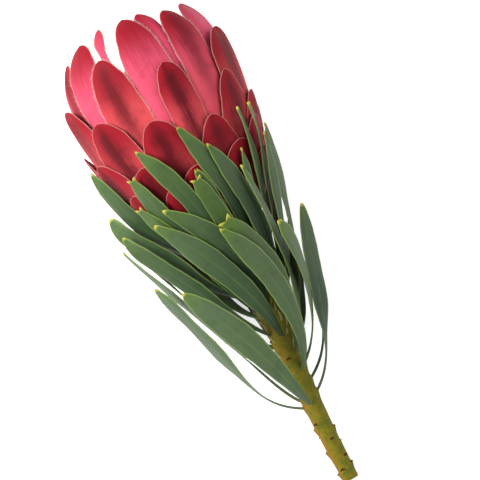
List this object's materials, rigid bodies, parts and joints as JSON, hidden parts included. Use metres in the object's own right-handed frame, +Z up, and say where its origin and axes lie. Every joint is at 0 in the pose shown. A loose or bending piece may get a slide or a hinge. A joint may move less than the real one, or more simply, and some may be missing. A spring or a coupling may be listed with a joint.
{
  "type": "protea flower",
  "caption": "Cut protea flower lying on its side: a woody stem with strap-shaped leaves and a goblet-shaped head of overlapping crimson and pink bracts round a cone of silky florets.",
  "frame": {"origin": "on the surface that the flower lies on, under the middle of its bounding box", "axes": "+Y from the cut end of the stem to the head, along the surface; +Z up; +X to the right, seen from above with the head pointing away"},
  "size_m": [0.0975, 0.2521, 0.0958],
  "materials": {
    "stem": "olive green bark, satin, with brown leaf scars",
    "leaf": "leathery grey-green, satin, with a thin yellow-green margin and a yellow tip",
    "outer_bracts": "crimson, satin, darker along the middle, with a pale hairy margin",
    "inner_bracts": "pink, silky, crimson towards the tip",
    "florets": "pale pink, silky hairs"
  },
  "bodies": {
    "root": {"stem": "stem", "outer_bracts": "outer_bracts", "inner_bracts": "inner_bracts", "florets": "florets", "leaf_01": "leaf", "leaf_02": "leaf", "leaf_03": "leaf", "leaf_04": "leaf", "leaf_05": "leaf", "leaf_06": "leaf", "leaf_07": "leaf", "leaf_08": "leaf", "leaf_09": "leaf", "leaf_10": "leaf", "leaf_11": "leaf", "leaf_12": "leaf", "leaf_13": "leaf", "leaf_14": "leaf", "leaf_15": "leaf", "leaf_16": "leaf", "leaf_17": "leaf", "leaf_18": "leaf", "leaf_19": "leaf", "leaf_20": "leaf", "leaf_21": "leaf", "leaf_22": "leaf", "leaf_23": "leaf", "leaf_24": "leaf", "leaf_25": "leaf", "leaf_26": "leaf", "leaf_27": "leaf", "leaf_28": "leaf", "leaf_29": "leaf", "leaf_30": "leaf", "leaf_31": "leaf", "leaf_32": "leaf", "leaf_33": "leaf", "leaf_34": "leaf", "leaf_35": "leaf", "leaf_36": "leaf", "leaf_37": "leaf", "leaf_38": "leaf", "leaf_39": "leaf", "leaf_40": "leaf", "leaf_41": "leaf", "leaf_42": "leaf", "leaf_43": "leaf"}
  },
  "joints": []
}
